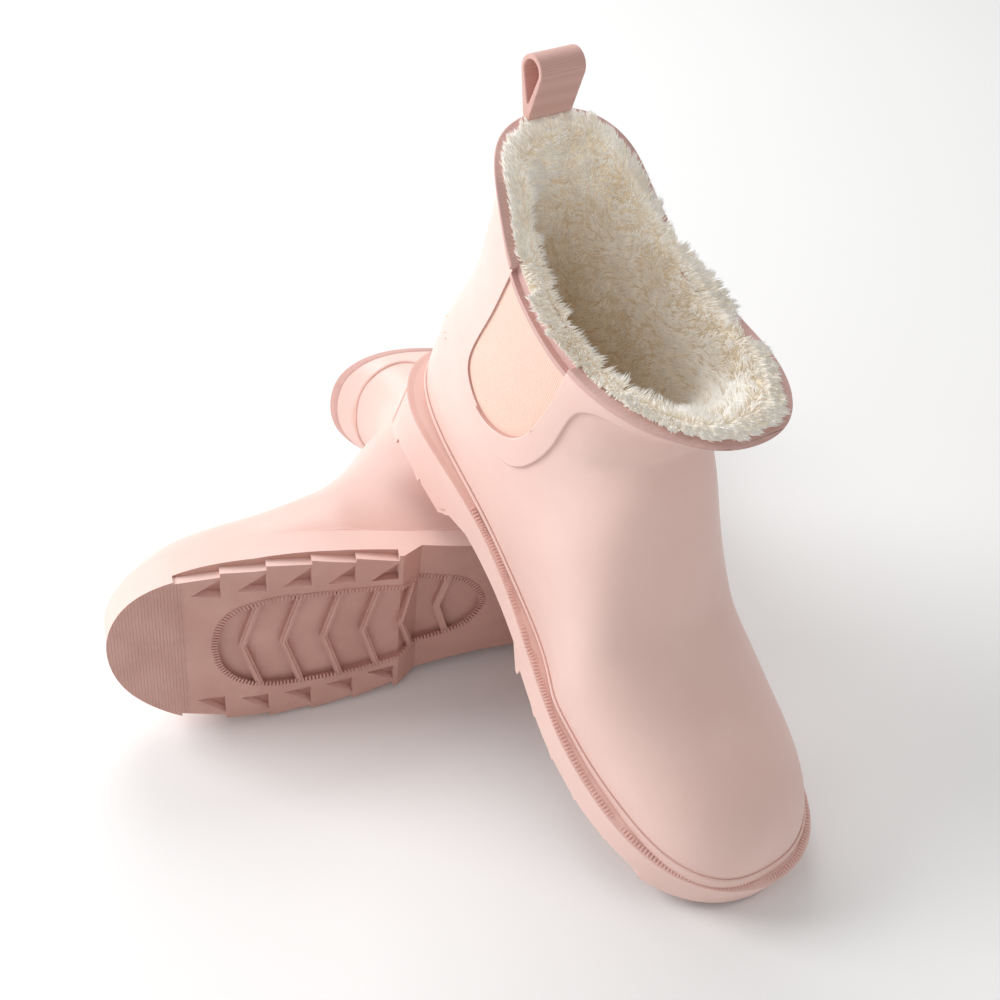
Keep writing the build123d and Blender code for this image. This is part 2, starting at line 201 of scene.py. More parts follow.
def make_mottle():
    """A slow two-tone change of colour and roughness, as in moulded rubber."""
    group, entry, leave = new_group(
        "mottle",
        (("Vector", "NodeSocketVector", None), ("Size", "NodeSocketFloat", 0.02),
         ("Pale", "NodeSocketColor", None), ("Deep", "NodeSocketColor", None),
         ("Smooth", "NodeSocketFloat", 0.4), ("Rough", "NodeSocketFloat", 0.5)),
        (("Color", "NodeSocketColor"), ("Roughness", "NodeSocketFloat")),
    )
    noise = add_node(group, "ShaderNodeTexNoise", Detail=4.0, Roughness=0.55)
    mix = add_node(group, "ShaderNodeMix", data_type="RGBA")
    spread = add_node(group, "ShaderNodeMapRange")
    spread.inputs["From Min"].default_value = 0.3
    spread.inputs["From Max"].default_value = 0.7
    group.links.new(entry.outputs["Vector"], noise.inputs["Vector"])
    group.links.new(entry.outputs["Size"], noise.inputs["Scale"])
    group.links.new(noise.outputs["Fac"], spread.inputs["Value"])
    group.links.new(spread.outputs["Result"], mix.inputs["Factor"])
    group.links.new(entry.outputs["Pale"], mix.inputs["A"])
    group.links.new(entry.outputs["Deep"], mix.inputs["B"])
    group.links.new(mix.outputs["Result"], leave.inputs["Color"])
    rough = add_node(group, "ShaderNodeMapRange")
    group.links.new(spread.outputs["Result"], rough.inputs["Value"])
    group.links.new(entry.outputs["Smooth"], rough.inputs["To Min"])
    group.links.new(entry.outputs["Rough"], rough.inputs["To Max"])
    group.links.new(rough.outputs["Result"], leave.inputs["Roughness"])
    return group


def make_grain():
    """Fine moulded grain as a height in millimetres."""
    group, entry, leave = new_group(
        "grain",
        (("Vector", "NodeSocketVector", None), ("Size", "NodeSocketFloat", 2.0),
         ("Depth", "NodeSocketFloat", 0.02)),
        (("Height", "NodeSocketFloat"),),
    )
    noise = add_node(group, "ShaderNodeTexNoise", Detail=3.0)
    group.links.new(entry.outputs["Vector"], noise.inputs["Vector"])
    group.links.new(entry.outputs["Size"], noise.inputs["Scale"])
    height = math_node(group, "MULTIPLY", noise.outputs["Fac"], entry.outputs["Depth"])
    group.links.new(height, leave.inputs["Height"])
    return group


def make_ribbing():
    """Parallel ribs with a weaker cross thread, as a height and a mask."""
    group, entry, leave = new_group(
        "ribbing",
        (("Vector", "NodeSocketVector", None), ("Ribs per mm", "NodeSocketFloat", 1.0),
         ("Threads per mm", "NodeSocketFloat", 2.0), ("Depth", "NodeSocketFloat", 0.05)),
        (("Height", "NodeSocketFloat"), ("Mask", "NodeSocketFloat")),
    )
    parts = add_node(group, "ShaderNodeSeparateXYZ")
    group.links.new(entry.outputs["Vector"], parts.inputs[0])
    turns = math_node(group, "MULTIPLY", parts.outputs["X"], entry.outputs["Ribs per mm"])
    rib = math_node(group, "SINE", math_node(group, "MULTIPLY", turns, 2 * math.pi))
    threads = math_node(group, "MULTIPLY", parts.outputs["Z"], entry.outputs["Threads per mm"])
    thread = math_node(group, "SINE", math_node(group, "MULTIPLY", threads, 2 * math.pi))
    total = math_node(group, "ADD", rib, math_node(group, "MULTIPLY", thread, 0.35))
    mask = math_node(group, "ADD", math_node(group, "MULTIPLY", total, 0.35), 0.5)
    group.links.new(mask, leave.inputs["Mask"])
    group.links.new(math_node(group, "MULTIPLY", total, entry.outputs["Depth"]), leave.inputs["Height"])
    return group


POSITION = {side: make_boot_position(side) for side in SIDES}
MOTTLE = make_mottle()
GRAIN = make_grain()
RIBBING = make_ribbing()


def colour(red, green, blue):
    """An sRGB colour, 0 to 255, as linear RGBA."""
    linear = []
    for value in (red, green, blue):
        share = value / 255
        linear.append(share / 12.92 if share <= 0.04045 else ((share + 0.055) / 1.055) ** 2.4)
    return (*linear, 1.0)


PALE_ROSE = colour(241, 208, 199)
PALE_ROSE_DEEP = colour(237, 202, 193)
# the tread's deeper rose is painted shade on the down-facing sole
TREAD_SHADE_ROSE = colour(209, 163, 151)
TREAD_SHADE_ROSE_DEEP = colour(197, 150, 138)
TAPE_ROSE = colour(222, 184, 177)
TAPE_ROSE_DEEP = colour(206, 164, 156)
PEACH = colour(250, 218, 201)
PEACH_DEEP = colour(240, 200, 184)
STRAP_ROSE = colour(224, 180, 170)
STRAP_ROSE_DEEP = colour(214, 168, 158)
# painted glow: the pile emits light, standing in for light scattered on by the fine hairs, which solid
# strands don't pass
PILE_PAINTED_GLOW = 0.20
WELT_ROSE = colour(238, 202, 193)
WELT_ROSE_DEEP = colour(230, 190, 181)
THREAD_ROSE = colour(222, 172, 166)
PILE_TIP = colour(255, 252, 246)
PILE_ROOT = colour(244, 236, 222)
# painted shade deep inside the boot
PILE_DEEP_SHADE = colour(180, 154, 120)


# sizes of patterns, per millimetre of boot
RUBBER_MOTTLE = 0.035
TREAD_MOTTLE = 0.05
RUBBER_GRAIN = 1.6
RUBBER_GLOSS = 0.42
# painted shade on the tread, a deeper rose: faces this far turned down, and what lies within these
# millimetres
TURNED_DOWN = 0.45
TURNED_ASIDE = -0.6
TREAD_HALF = 30.0
TREAD_ENDS = (12.0, 262.0)
TOE_PAD_START = 246.0
# painted shade on the gore recess's walls, a deeper rose: faces turned this little sideways, within these
# millimetres
TURNED_SIDEWAYS = 0.45
GORE_REGION = (("X", 38.0, 96.0), ("Z", 80.0, 174.0))
# painted shade: how the pile darkens from near the rim to deep in the boot, by height in millimetres
PILE_SHADE = (("From Min", 172.0), ("From Max", 90.0), ("To Min", 0.0), ("To Max", 1.0))


def use_group(tree, group, **values):
    node = tree.nodes.new("ShaderNodeGroup")
    node.node_tree = group
    for key, value in values.items():
        socket = node.inputs[key.replace("_", " ")]
        if isinstance(value, bpy.types.NodeSocket):
            tree.links.new(value, socket)
        else:
            socket.default_value = value
    return node


def start_material(name):
    material = bpy.data.materials.new(name)
    material.use_nodes = True
    tree = material.node_tree
    return material, tree, tree.nodes["Principled BSDF"]


def finish_height(tree, shader, height, distance=MM):
    """Feeds a height in millimetres to the shader's normal."""
    bump = add_node(tree, "ShaderNodeBump")
    bump.inputs["Strength"].default_value = 1.0
    bump.inputs["Distance"].default_value = distance
    tree.links.new(height, bump.inputs["Height"])
    tree.links.new(bump.outputs["Normal"], shader.inputs["Normal"])


def rubber(name, side, pale, deep, smooth, rough, grain_depth):
    material, tree, shader = start_material(name)
    position = use_group(tree, POSITION[side]).outputs["Position"]
    tone = use_group(tree, MOTTLE, Vector=position, Size=RUBBER_MOTTLE, Pale=pale, Deep=deep,
                     Smooth=smooth, Rough=rough)
    tree.links.new(tone.outputs["Color"], shader.inputs["Base Color"])
    tree.links.new(tone.outputs["Roughness"], shader.inputs["Roughness"])
    grain = use_group(tree, GRAIN, Vector=position, Size=RUBBER_GRAIN, Depth=grain_depth)
    finish_height(tree, shader, grain.outputs["Height"])
    shader.inputs["Specular IOR Level"].default_value = RUBBER_GLOSS
    return material


def upper_rubber(side):
    """The pale upper, with the walls of the gore recess painted a deeper rose as painted shade."""
    material = rubber(f"{side}_upper_rubber", side, PALE_ROSE, PALE_ROSE_DEEP, 0.38, 0.46, 0.012)
    tree = material.node_tree
    shader = tree.nodes["Principled BSDF"]
    base = shader.inputs["Base Color"].links[0].from_socket
    source = add_node(tree, "ShaderNodeTexCoord")
    sideways = add_node(tree, "ShaderNodeVectorMath", operation="DOT_PRODUCT")
    sideways.inputs[1].default_value = turn_of(side) @ Vector((0, 1, 0))
    tree.links.new(source.outputs["Normal"], sideways.inputs[0])
    turned = math_node(tree, "ABSOLUTE", sideways.outputs["Value"])
    mask = math_node(tree, "LESS_THAN", turned, TURNED_SIDEWAYS)
    parts = add_node(tree, "ShaderNodeSeparateXYZ")
    tree.links.new(use_group(tree, POSITION[side]).outputs["Position"], parts.inputs[0])
    for axis, low, high in GORE_REGION:
        mask = math_node(tree, "MULTIPLY", mask, math_node(tree, "GREATER_THAN", parts.outputs[axis], low))
        mask = math_node(tree, "MULTIPLY", mask, math_node(tree, "LESS_THAN", parts.outputs[axis], high))
    # painted shade: the gore recess's walls take the deeper rose
    mix = add_node(tree, "ShaderNodeMix", data_type="RGBA")
    mix.inputs["B"].default_value = TAPE_ROSE_DEEP
    tree.links.new(mask, mix.inputs["Factor"])
    tree.links.new(base, mix.inputs["A"])
    tree.links.new(mix.outputs["Result"], shader.inputs["Base Color"])
    return material


def sole_rubber(side):
    """Pale on the outer wall, a deeper rose under the foot as painted shade, with fine cross lines under the
    toe.
    """
    material, tree, shader = start_material(f"{side}_sole_rubber")
    position = use_group(tree, POSITION[side]).outputs["Position"]
    wall = use_group(tree, MOTTLE, Vector=position, Size=RUBBER_MOTTLE, Pale=PALE_ROSE,
                     Deep=PALE_ROSE_DEEP, Smooth=0.42, Rough=0.5)
    under = use_group(tree, MOTTLE, Vector=position, Size=TREAD_MOTTLE, Pale=TREAD_SHADE_ROSE,
                      Deep=TREAD_SHADE_ROSE_DEEP, Smooth=0.45, Rough=0.58)
    source = add_node(tree, "ShaderNodeTexCoord")
    facing = add_node(tree, "ShaderNodeVectorMath", operation="DOT_PRODUCT")
    facing.inputs[1].default_value = turn_of(side) @ Vector((0, 0, -1))
    tree.links.new(source.outputs["Normal"], facing.inputs[0])
    down = math_node(tree, "GREATER_THAN", facing.outputs["Value"], TURNED_DOWN)
    parts = add_node(tree, "ShaderNodeSeparateXYZ")
    tree.links.new(position, parts.inputs[0])
    middle = math_node(tree, "LESS_THAN", math_node(tree, "ABSOLUTE", parts.outputs["Y"]), TREAD_HALF)
    within = math_node(tree, "MULTIPLY", middle,
                       math_node(tree, "LESS_THAN", parts.outputs["X"], TREAD_ENDS[1]))
    pocket = math_node(tree, "MULTIPLY", within,
                       math_node(tree, "GREATER_THAN", facing.outputs["Value"], TURNED_ASIDE))
    front = math_node(tree, "MULTIPLY", pocket,
                      math_node(tree, "GREATER_THAN", parts.outputs["X"], TREAD_ENDS[0]))
    # painted shade: the down-facing tread and the faces within it take the deeper rose
    mask = math_node(tree, "MAXIMUM", down, front)
    mix = add_node(tree, "ShaderNodeMix", data_type="RGBA")
    tree.links.new(mask, mix.inputs["Factor"])
    tree.links.new(wall.outputs["Color"], mix.inputs["A"])
    tree.links.new(under.outputs["Color"], mix.inputs["B"])
    tree.links.new(mix.outputs["Result"], shader.inputs["Base Color"])
    tree.links.new(under.outputs["Roughness"], shader.inputs["Roughness"])
    lines = use_group(tree, RIBBING, Vector=position, Ribs_per_mm=0.7, Threads_per_mm=0.0, Depth=0.16)
    at_toe = math_node(tree, "MULTIPLY", down,
                       math_node(tree, "GREATER_THAN", parts.outputs["X"], TOE_PAD_START))
    grain = use_group(tree, GRAIN, Vector=position, Size=RUBBER_GRAIN, Depth=0.03)
    toe_lines = math_node(tree, "MULTIPLY", lines.outputs["Height"], at_toe)
    height = math_node(tree, "ADD", toe_lines, grain.outputs["Height"])
    finish_height(tree, shader, height)
    return material


def cloth(name, side, pale, deep, ribs, threads, depth, rough=0.75, sheen=0.15):
    material, tree, shader = start_material(name)
    position = use_group(tree, POSITION[side]).outputs["Position"]
    weave = use_group(tree, RIBBING, Vector=position, Ribs_per_mm=ribs, Threads_per_mm=threads, Depth=depth)
    fuzz = use_group(tree, GRAIN, Vector=position, Size=3.0, Depth=0.03)
    mix = add_node(tree, "ShaderNodeMix", data_type="RGBA")
    mix.inputs["A"].default_value = deep
    mix.inputs["B"].default_value = pale
    tree.links.new(weave.outputs["Mask"], mix.inputs["Factor"])
    tree.links.new(mix.outputs["Result"], shader.inputs["Base Color"])
    shader.inputs["Roughness"].default_value = rough
    shader.inputs["Sheen Weight"].default_value = sheen
    finish_height(tree, shader, math_node(tree, "ADD", weave.outputs["Height"], fuzz.outputs["Height"]))
    return material


def fleece_finish(side):
    """Cream at the tips, browner at the roots, darker deep in the foot as painted shade, with a painted glow.
    """
    material, tree, shader = start_material(f"{side}_fleece")
    position = use_group(tree, POSITION[side]).outputs["Position"]
    strand = add_node(tree, "ShaderNodeAttribute", attribute_name="strand")
    parts = add_node(tree, "ShaderNodeSeparateXYZ")
    tree.links.new(position, parts.inputs[0])
    # painted shade: the pile's colour darkens with depth in the boot
    depth_shade = add_node(tree, "ShaderNodeMapRange")
    for key, value in PILE_SHADE:
        depth_shade.inputs[key].default_value = value
    tree.links.new(parts.outputs["Z"], depth_shade.inputs["Value"])
    pile = add_node(tree, "ShaderNodeMix", data_type="RGBA")
    pile.inputs["A"].default_value = PILE_ROOT
    pile.inputs["B"].default_value = PILE_TIP
    tree.links.new(strand.outputs["Fac"], pile.inputs["Factor"])
    clumps = use_group(tree, MOTTLE, Vector=position, Size=0.12, Pale=colour(255, 255, 255),
                       Deep=colour(238, 231, 220), Smooth=0.85, Rough=0.95)
    patchy = add_node(tree, "ShaderNodeMix", data_type="RGBA", blend_type="MULTIPLY")
    patchy.inputs["Factor"].default_value = 1.0
    tree.links.new(pile.outputs["Result"], patchy.inputs["A"])
    tree.links.new(clumps.outputs["Color"], patchy.inputs["B"])
    shaded = add_node(tree, "ShaderNodeMix", data_type="RGBA")
    shaded.inputs["B"].default_value = PILE_DEEP_SHADE
    tree.links.new(depth_shade.outputs["Result"], shaded.inputs["Factor"])
    tree.links.new(patchy.outputs["Result"], shaded.inputs["A"])
    tree.links.new(shaded.outputs["Result"], shader.inputs["Base Color"])
    # painted glow: the pile emits light in its own colour, painted shade included
    tree.links.new(shaded.outputs["Result"], shader.inputs["Emission Color"])
    shader.inputs["Emission Strength"].default_value = PILE_PAINTED_GLOW
    tree.links.new(clumps.outputs["Roughness"], shader.inputs["Roughness"])
    shader.inputs["Sheen Weight"].default_value = 0.35
    shader.inputs["Sheen Roughness"].default_value = 0.5
    shader.inputs["Subsurface Weight"].default_value = 0.6
    shader.inputs["Subsurface Radius"].default_value = (1.0, 0.9, 0.75)
    shader.inputs["Subsurface Scale"].default_value = 0.003
    grain = use_group(tree, GRAIN, Vector=position, Size=0.9, Depth=0.06)
    finish_height(tree, shader, grain.outputs["Height"])
    return material


def floor_finish():
    material, tree, shader = start_material("pale_floor")
    source = add_node(tree, "ShaderNodeTexCoord")
    tone = use_group(tree, MOTTLE, Vector=source.outputs["Object"], Size=2.0, Pale=(0.93, 0.93, 0.93, 1),
                     Deep=(0.91, 0.91, 0.91, 1), Smooth=0.75, Rough=0.85)
    tree.links.new(tone.outputs["Color"], shader.inputs["Base Color"])
    tree.links.new(tone.outputs["Roughness"], shader.inputs["Roughness"])
    return material


def finishes(side):
    """Every finish of one boot, by material slot."""
    steel = rubber(f"{side}_shank_steel", side, colour(170, 170, 172), colour(150, 150, 153), 0.3, 0.45, 0.01)
    steel.node_tree.nodes["Principled BSDF"].inputs["Metallic"].default_value = 1.0
    return {
        "upper_rubber": upper_rubber(side),
        "sole_rubber": sole_rubber(side),
        "welt_rubber": rubber(f"{side}_welt_rubber", side, WELT_ROSE, WELT_ROSE_DEEP, 0.45, 0.55, 0.02),
        "filler_foam": rubber(f"{side}_filler_foam", side, colour(225, 220, 210), colour(205, 198, 186),
                              0.8, 0.95, 0.2),
        "shank_steel": steel,
        "board_fibre": rubber(f"{side}_board_fibre", side, colour(205, 195, 172), colour(182, 170, 146),
                              0.8, 0.9, 0.1),
        "insole_foam": fleece_finish(side),
        "gore_elastic": cloth(f"{side}_gore_elastic", side, PEACH, PEACH_DEEP, 1.15, 2.2, 0.05),
        "binding_tape": cloth(f"{side}_binding_tape", side, TAPE_ROSE, TAPE_ROSE_DEEP, 1.6, 1.6, 0.03),
        "fleece": fleece_finish(side),
        "strap_webbing": cloth(f"{side}_strap_webbing", side, STRAP_ROSE, STRAP_ROSE_DEEP,
                               1.4, 1.4, 0.03, 0.6, 0.1),
        "stitch_thread": cloth(f"{side}_stitch_thread", side, THREAD_ROSE, TAPE_ROSE_DEEP, 2.5, 2.5, 0.06),
    }


FINISH = {side: finishes(side) for side in SIDES}
SLOT_OF = {row["node"]: row["material_slot"] for row in frame["record"]["subparts"]}


def side_of(name):
    return "left" if name.startswith("left_") else "right"


def paint(thing, side, slot):
    thing.data.materials.clear()
    thing.data.materials.append(FINISH[side][slot])


LOOP_FOOT = (-3.875, 0.0, 184.8)
LOOP_LEAN = 20.0


# ---- Rounded copies of pieces whose moulded edges are soft ----
def rounded_copy(node, radius, segments=2, sharp=38.0, lean_back=0.0):
    """A CAD node's shape with its sharp edges rounded, leaned back about the loop's foot if asked."""
    side, slot = side_of(node), SLOT_OF[node]
    shape = bmesh.new()
    shape.from_mesh(frame["nodes"][node].data)
    bmesh.ops.remove_doubles(shape, verts=shape.verts, dist=2e-6)
    bmesh.ops.dissolve_limit(shape, angle_limit=math.radians(0.4), verts=shape.verts, edges=shape.edges)
    if lean_back:
        foot = Vector(from_boot(side, [LOOP_FOOT])[0])
        sideways = Vector(directions_from_boot(side, [(0, 1, 0)])[0])
        lean = math.radians(lean_back if side == "left" else -lean_back)
        bmesh.ops.rotate(shape, verts=shape.verts, cent=foot, matrix=Matrix.Rotation(lean, 3, sideways))
    made = new_object(f"{node}_moulded", shape)
    stale = made.data.attributes.get("custom_normal")
    if stale:
        made.data.attributes.remove(stale)
    for face in made.data.polygons:
        face.use_smooth = True
    made.data.set_sharp_from_angle(angle=math.radians(sharp))
    rounding = made.modifiers.new("rounding", "BEVEL")
    rounding.width = radius * MM
    rounding.segments = segments
    rounding.limit_method = "ANGLE"
    rounding.angle_limit = math.radians(sharp)
    rounding.use_clamp_overlap = False
    rounding.harden_normals = False
    paint(made, side, slot)
    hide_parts(node)
    body = f"{side}_loop" if node.endswith("pull_loop") else f"{side}_boot"
    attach(made, body)
    return made


# ---- Fleece ----
PILE_CHUNK = 18000
PILE_LENGTH = (5.0, 8.6)
PILE_HALF_WIDTH = 0.34
PILE_OVER_RIM = 3.6
STRANDS_PER_LOCK = 22
LOCK_LENGTH = (5.5, 8.0)
BRIM_SPREAD = 1.15
TUFTS = {"right": 72000, "left": 45000}


def strand_shape():
    """One closed three-sided strand, a unit long along Z, as its points and triangles."""
    shape = bmesh.new()
    bmesh.ops.create_cone(shape, cap_ends=True, segments=3, radius1=1.0, radius2=0.0, depth=1.0)
    bmesh.ops.translate(shape, verts=shape.verts, vec=(0, 0, 0.5))
    bmesh.ops.bisect_plane(shape, geom=shape.verts[:] + shape.edges[:] + shape.faces[:],
                           plane_co=(0, 0, 0.5), plane_no=(0, 0, 1))
    bmesh.ops.remove_doubles(shape, verts=shape.verts, dist=1e-4)
    bmesh.ops.triangulate(shape, faces=shape.faces)
    bmesh.ops.recalc_face_normals(shape, faces=shape.faces)
    shape.verts.ensure_lookup_table()
    points = np.array([v.co for v in shape.verts])
    middle = np.abs(points[:, 2] - 0.5) < 0.01
    points[middle, :2] *= 1.7
    triangles = np.array([[v.index for v in f.verts] for f in shape.faces])
    shape.free()
    return points, triangles


STRAND_POINTS, STRAND_TRIANGLES = strand_shape()


def triangles_of(node):
    mesh = frame["nodes"][node].data
    mesh.calc_loop_triangles()
    points = np.array([v.co for v in mesh.vertices])
    triangles = np.array([t.vertices for t in mesh.loop_triangles])
    return points, triangles


def unit(vectors):
    return vectors / np.maximum(np.linalg.norm(vectors, axis=1, keepdims=True), 1e-9)


def rim_height(x):
    return np.interp(x, RIM_X, RIM_Z)


def pile_ground(side):
    """The triangles the pile grows from, in boot millimetres, with how thickly each is covered."""
    corners = []
    for part in ("lining_sock", "insole"):
        points, triangles = triangles_of(f"{side}_{part}")
        corners.append(to_boot(side, points)[triangles])
    corners = np.concatenate(corners)
    cross = np.cross(corners[:, 1] - corners[:, 0], corners[:, 2] - corners[:, 0])
    if side == "left":
        cross = -cross
    area = np.linalg.norm(cross, axis=1) / 2
    normal = unit(cross)
    centre = corners.mean(axis=1)
    high = centre[:, 2] > 95
    core = np.stack([np.where(high, 70.0, np.clip(centre[:, 0], 60, 225)),
                     np.zeros(len(centre)),
                     np.where(high, centre[:, 2], np.clip(centre[:, 2], 38, 48))], axis=1)
    inward = np.einsum("ij,ij->i", normal, core - centre) > 0
    brim = (centre[:, 2] > rim_height(centre[:, 0]) - 0.6) & (normal[:, 2] > 0.6)
    cover = np.where(brim, 3.2, np.where(centre[:, 0] > 150, 0.25, np.where(centre[:, 2] < 60, 0.5, 1.0)))
    cover = np.where(inward | brim, cover, 0.0)
    return corners, normal, area * cover


def grow_pile(side, seed):
    rng = np.random.default_rng(seed)
    corners, normal, weight = pile_ground(side)
    count = TUFTS[side]
    pick = rng.choice(len(corners), size=count, p=weight / weight.sum())
    a, b = rng.random(count), rng.random(count)
    fold = a + b > 1
    a[fold], b[fold] = 1 - a[fold], 1 - b[fold]
    chosen = corners[pick]
    first, second, third = chosen[:, 0], chosen[:, 1], chosen[:, 2]
    root = first + a[:, None] * (second - first) + b[:, None] * (third - first)
    out = normal[pick]
    # the pile leans up towards the mouth, swirls slowly and gathers in locks
    swirl = np.stack([np.sin(root[:, 1] * 0.21 + root[:, 2] * 0.13),
                      np.sin(root[:, 0] * 0.17 + root[:, 2] * 0.19),
                      np.sin(root[:, 0] * 0.12 + root[:, 1] * 0.23)], axis=1)
    brim = out[:, 2] > 0.6
    brim &= root[:, 2] > rim_height(root[:, 0]) - 0.7
    middle = np.stack([np.full(count, 70.0), np.zeros(count), root[:, 2]], axis=1)
    outward = unit(root - middle) * brim[:, None]
    lean = (out * 0.75 + np.array([0, 0, 0.45]) + swirl * 0.25 + outward * BRIM_SPREAD
            + rng.normal(0, 0.16, (count, 3)))
    way = unit(lean)
    length = rng.uniform(*PILE_LENGTH, count)
    tip = root + way * length[:, None]
    lock_count = count // STRANDS_PER_LOCK
    locks = rng.choice(count, lock_count, replace=False)
    tree = KDTree(lock_count)
    for i, lock in enumerate(locks):
        tree.insert(root[lock], i)
    tree.balance()
    nearest = np.array([tree.find(p)[1] for p in root])
    lock_way = unit(out[locks] * 0.8 + np.array([0, 0, 0.5]) + swirl[locks] * 0.4
                    + outward[locks] * BRIM_SPREAD + rng.normal(0, 0.25, (lock_count, 3)))
    lock_tip = root[locks] + lock_way * rng.uniform(*LOCK_LENGTH, (lock_count, 1))
    share = rng.uniform(0.25, 0.6, (count, 1))
    tip = tip * (1 - share) + lock_tip[nearest] * share
    # keep the tips off the binding: over the rim they may rise a little, not spread outward
    over = tip[:, 2] > rim_height(tip[:, 0]) + PILE_OVER_RIM
    tip[over, 2] = rim_height(tip[over, 0]) + PILE_OVER_RIM - rng.uniform(0, 1.5, over.sum())
    stem = tip - root
    side_way = unit(np.cross(stem, rng.normal(0, 1, (count, 3))))
    other_way = unit(np.cross(stem, side_way))
    bend = rng.normal(0, 0.7, (count, 3))
    width = PILE_HALF_WIDTH * rng.uniform(0.8, 1.25, count)
    order = np.argsort(-root[:, 2])
    for chunk in range(0, count, PILE_CHUNK):
        rows = order[chunk:chunk + PILE_CHUNK]
        h = STRAND_POINTS[:, 2]
        points = (root[rows][:, None] + stem[rows][:, None] * h[None, :, None]
                  + bend[rows][:, None] * (h * (1 - h) * 2)[None, :, None]
                  + (side_way[rows][:, None] * STRAND_POINTS[None, :, 0:1]
                     + other_way[rows][:, None] * STRAND_POINTS[None, :, 1:2]) * width[rows][:, None, None])
        triangles = STRAND_TRIANGLES[None] + (np.arange(len(rows)) * len(STRAND_POINTS))[:, None, None]
        stamp_mesh(f"{side}_pile_{chunk // PILE_CHUNK}", side, "fleece",
                   points.reshape(-1, 3), triangles.reshape(-1, 3), np.tile(h, len(rows)), smooth=True)


def stamp_mesh(name, side, slot, points, triangles, strand=None, smooth=False):
    """A piece made of many stamped copies, given in boot millimetres."""
    if side == "left":
        triangles = triangles[:, ::-1]
    mesh = bpy.data.meshes.new(name)
    placed = from_boot(side, points)
    # the pile flattens where it meets the ground
    placed[:, 2] = np.maximum(placed[:, 2], GROUND_GAP)
    mesh.vertices.add(len(points))
    mesh.vertices.foreach_set("co", placed.astype(np.float32).ravel())
    mesh.loops.add(triangles.size)
    mesh.loops.foreach_set("vertex_index", triangles.astype(np.int32).ravel())
    mesh.polygons.add(len(triangles))
    mesh.polygons.foreach_set("loop_start", np.arange(0, triangles.size, 3, dtype=np.int32))
    mesh.update(calc_edges=True)
    mesh.polygons.foreach_set("use_smooth", np.full(len(triangles), smooth))
    if strand is not None:
        attribute = mesh.attributes.new("strand", "FLOAT", "POINT")
        attribute.data.foreach_set("value", strand.astype(np.float32))
    made = bpy.data.objects.new(name, mesh)
    bpy.context.scene.collection.objects.link(made)
    paint(made, side, slot)
    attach(made, f"{side}_boot")
    return made


def face_outside_with_tape(made, side):
    """The lining's outer face, seen only above the gores, is edged with tape."""
    made.data.materials.append(FINISH[side]["binding_tape"])
    centres = np.array([face.center for face in made.data.polygons])
    normals = np.array([face.normal for face in made.data.polygons]) @ np.array(turn_of(side))
    if side == "left":
        normals[:, 1] *= -1
    upright = to_boot(side, centres)
    core = np.stack([np.full(len(upright), 70.0), np.zeros(len(upright)), upright[:, 2]], axis=1)
    outward = (np.einsum("ij,ij->i", normals, upright - core) > 0) & (upright[:, 2] > 120)
    made.data.polygons.foreach_set("material_index", outward.astype(np.int32))


def backing(side):
    """The knitted ground of the fleece and the insole's cover, under the pile."""
    for part, slot in (("lining_sock", "fleece"), ("insole", "insole_foam")):
        node = f"{side}_{part}"
        shape = bmesh.new()
        shape.from_mesh(frame["nodes"][node].data)
        bmesh.ops.remove_doubles(shape, verts=shape.verts, dist=2e-6)
        made = new_object(f"{node}_ground", shape)
        stale = made.data.attributes.get("custom_normal")
        if stale:
            made.data.attributes.remove(stale)
        for face in made.data.polygons:
            face.use_smooth = True
        made.data.set_sharp_from_angle(angle=math.radians(40))
        paint(made, side, slot)
        if part == "lining_sock":
            face_outside_with_tape(made, side)
        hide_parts(node)
        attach(made, f"{side}_boot")


# ---- Knurled welt ----
KNURL_PITCH = 1.7
KNURL_START = 78.0


def knurl(side):
    """Small cross bars along the welt, from the waist round the toe."""
    points, _ = triangles_of(f"{side}_welt_strip")
    upright = to_boot(side, points)
    turn = np.arctan2(upright[:, 1] / 48, (upright[:, 0] - 140) / 140)
    steps = 240
    bins = ((turn + math.pi) / (2 * math.pi) * steps).astype(int) % steps
    line = []
    for step in range(steps):
        here = upright[bins == step]
        if len(here) < 2:
            continue
        reach = np.hypot(here[:, 0] - 140, here[:, 1])
        outer, inner = here[reach.argmax()], here[reach.argmin()]
        line.append([(outer[0] + inner[0]) / 2, (outer[1] + inner[1]) / 2, here[:, 2].max()])
    line = np.array(line)
    line = np.vstack([line, line[:1]])
    run = np.r_[0, np.cumsum(np.linalg.norm(np.diff(line, axis=0), axis=1))]
    stops = np.arange(0, run[-1], KNURL_PITCH)
    place = np.stack([np.interp(stops, run, line[:, k]) for k in range(3)], axis=1)
    for _ in range(4):
        place = (np.roll(place, 1, 0) + place * 2 + np.roll(place, -1, 0)) / 4
    heading = unit(np.roll(place, -1, 0) - np.roll(place, 1, 0))
    keep = place[:, 0] > KNURL_START
    place, heading = place[keep], heading[keep]
    lay_bars(f"{side}_welt_knurl", side, "welt_rubber", place, heading, (0.9, 2.6, 1.0))


def bar_shape():
    """One small bar with broken edges, a unit long each way, as its points and triangles."""
    bar = bmesh.new()
    bmesh.ops.create_cube(bar, size=1.0)
    bmesh.ops.bevel(bar, geom=bar.edges[:], offset=0.16, segments=1, affect="EDGES", profile=0.5, material=-1)
    bmesh.ops.triangulate(bar, faces=bar.faces)
    bmesh.ops.recalc_face_normals(bar, faces=bar.faces)
    bar.verts.ensure_lookup_table()
    points = np.array([v.co for v in bar.verts])
    triangles = np.array([[v.index for v in f.verts] for f in bar.faces])
    bar.free()
    return points, triangles


BAR_POINTS, BAR_TRIANGLES = bar_shape()


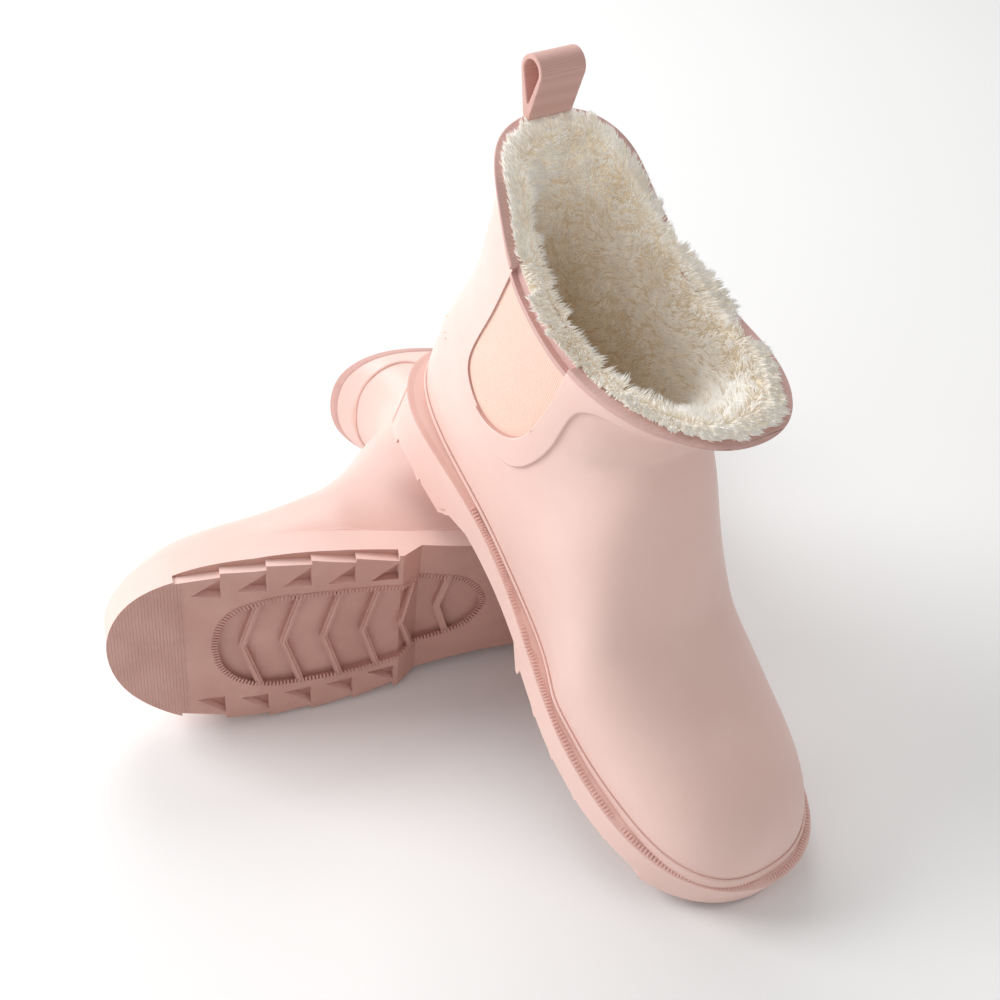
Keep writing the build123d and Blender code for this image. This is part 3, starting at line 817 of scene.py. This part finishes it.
def lay_bars(name, side, slot, place, heading, size):
    """Stamps a bar at each place: size is along the heading, across it, and up."""
    across = unit(np.cross(np.array([0, 0, 1.0]), heading))
    upward = np.cross(heading, across)
    lengths = np.broadcast_to(np.array(size, float), (len(place), 3))
    points = place[:, None] + sum(
        way[:, None] * BAR_POINTS[None, :, k:k + 1] * lengths[:, None, k:k + 1]
        for k, way in enumerate((heading, across, upward)))
    triangles = BAR_TRIANGLES[None] + (np.arange(len(place)) * len(BAR_POINTS))[:, None, None]
    stamp_mesh(name, side, slot, points.reshape(-1, 3), triangles.reshape(-1, 3))


# ---- Raised rim and chevron ridges of the middle pad ----
PAD_HALF = ((106, 0), (109, 8), (116, 15), (127, 18.5), (140, 21), (157, 24), (175, 26), (205, 27),
            (217, 25), (226, 20.5), (232, 12), (234, 0))
TREAD_X = (84, 138, 148, 180, 215, 250)
TREAD_Z = (13, 12, 3.6, 1, 0, 2.6)
CHEVRONS = 6
CHEVRON_PITCH = 18.5
CHEVRON_FRONT = 223.25
CHEVRON_SWEEP = 0.3
RIDGE_INSET = 1.5


def pad_ridges(side):
    half = np.array(PAD_HALF, float)
    ring = np.vstack([half * (1, -1), half[::-1][1:]])
    run = np.r_[0, np.cumsum(np.linalg.norm(np.diff(ring, axis=0), axis=1))]
    stops = np.arange(0, run[-1], KNURL_PITCH)
    flat = np.stack([np.interp(stops, run, ring[:, k]) for k in range(2)], axis=1)
    for _ in range(3):
        flat = (np.roll(flat, 1, 0) + flat * 2 + np.roll(flat, -1, 0)) / 4
    place = np.c_[flat, np.interp(flat[:, 0], TREAD_X, TREAD_Z)]
    heading = unit(np.roll(place, -1, 0) - np.roll(place, 1, 0))
    lay_bars(f"{side}_pad_rim", side, "sole_rubber", place, heading, (0.95, 3.0, 1.3))
    middles, ways, sizes = [], [], []
    for i in range(CHEVRONS):
        tip = CHEVRON_FRONT - i * CHEVRON_PITCH - 1.7
        if tip < 146:
            continue
        for arm in (-1, 1):
            reach = np.interp(tip - 6, half[:, 0], half[:, 1]) - RIDGE_INSET
            start = np.array([tip, 0, np.interp(tip, TREAD_X, TREAD_Z)])
            end_x = tip - reach * CHEVRON_SWEEP
            end = np.array([end_x, arm * reach, np.interp(end_x, TREAD_X, TREAD_Z)])
            middles.append((start + end) / 2)
            ways.append(end - start)
            sizes.append((np.linalg.norm(end - start) + 0.8, 1.5, 1.6))
    lay_bars(f"{side}_chevron_ridges", side, "sole_rubber", np.array(middles), unit(np.array(ways)), sizes)


# ---- Put it together ----
set_stage()
for node_name, node in frame["nodes"].items():
    paint(node, side_of(node_name), SLOT_OF[node_name])
for boot in SIDES:
    rounded_copy(f"{boot}_collar_trim", 0.55)
    rounded_copy(f"{boot}_foxing_strip", 0.5)
    rounded_copy(f"{boot}_collar_binding_back", 0.7, 3)
    rounded_copy(f"{boot}_collar_binding_front", 0.7, 3)
    rounded_copy(f"{boot}_pull_loop", 0.45, lean_back=LOOP_LEAN)
    backing(boot)
    grow_pile(boot, 11 if boot == "right" else 12)
    knurl(boot)
    pad_ridges(boot)
